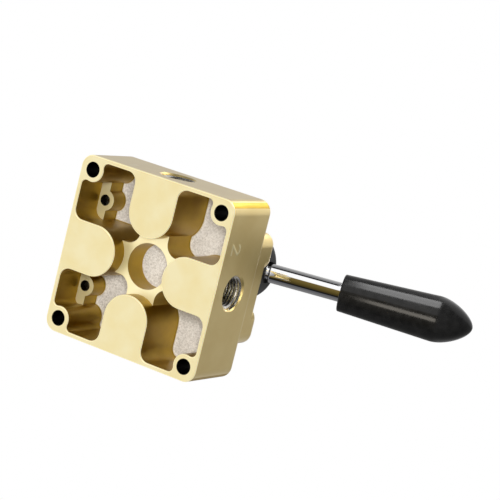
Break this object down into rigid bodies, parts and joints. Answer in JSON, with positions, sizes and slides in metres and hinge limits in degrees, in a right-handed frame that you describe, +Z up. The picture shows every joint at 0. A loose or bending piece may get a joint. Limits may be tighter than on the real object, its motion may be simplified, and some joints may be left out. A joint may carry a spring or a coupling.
{
  "type": "hand lever air valve",
  "caption": "Rotary hand lever air valve: square cored metal body with threaded side ports, round cover on ears, black hub, and a tilted chrome rod with a tapered black grip.",
  "frame": {"origin": "centre of the base face, on the rotor axis", "axes": "+Z up the rotor axis, away from the base; +X points along the lever at rest"},
  "size_m": [0.1315, 0.0712, 0.1104],
  "materials": {
    "gold_lacquer": "satin",
    "seal_rubber": "matte",
    "plated_steel": "satin",
    "bright_steel": "polished",
    "black_steel": "satin",
    "bearing_bronze": "satin",
    "dial_aluminium": "satin",
    "disc_aluminium": "satin",
    "black_paint": "satin",
    "black_plastic": "matte",
    "grip_plastic": "gloss",
    "chrome": "mirror"
  },
  "bodies": {
    "valve": {"valve_body": "gold_lacquer", "port_seals": "seal_rubber", "cover_seal": "seal_rubber", "cover": "gold_lacquer", "cover_screws": "plated_steel", "screw_washers": "plated_steel", "locating_dowels": "plated_steel", "thrust_washer": "bearing_bronze", "shaft_bush": "bearing_bronze", "detent_balls": "bright_steel", "detent_springs": "bright_steel", "stop_pin": "bright_steel", "dial_plate": "dial_aluminium", "dial_rivets": "dial_aluminium"},
    "lever_rotor": {"rotor_disc": "disc_aluminium", "disc_springs": "bright_steel", "spindle": "bright_steel", "shaft_seals": "seal_rubber", "hub": "black_paint", "hub_washer": "plated_steel", "hub_screw": "plated_steel", "hub_grub_screw": "black_steel", "hub_cap": "black_plastic", "lever_rod": "chrome", "lock_nut": "black_steel", "grip_insert": "bearing_bronze", "grip": "grip_plastic"}
  },
  "joints": [
    {"name": "lever_turn", "type": "hinge", "parent": "valve", "child": "lever_rotor", "pos_m": [0, 0, 0], "axis": [0, 0, 1], "range_deg": [-45, 45]}
  ]
}
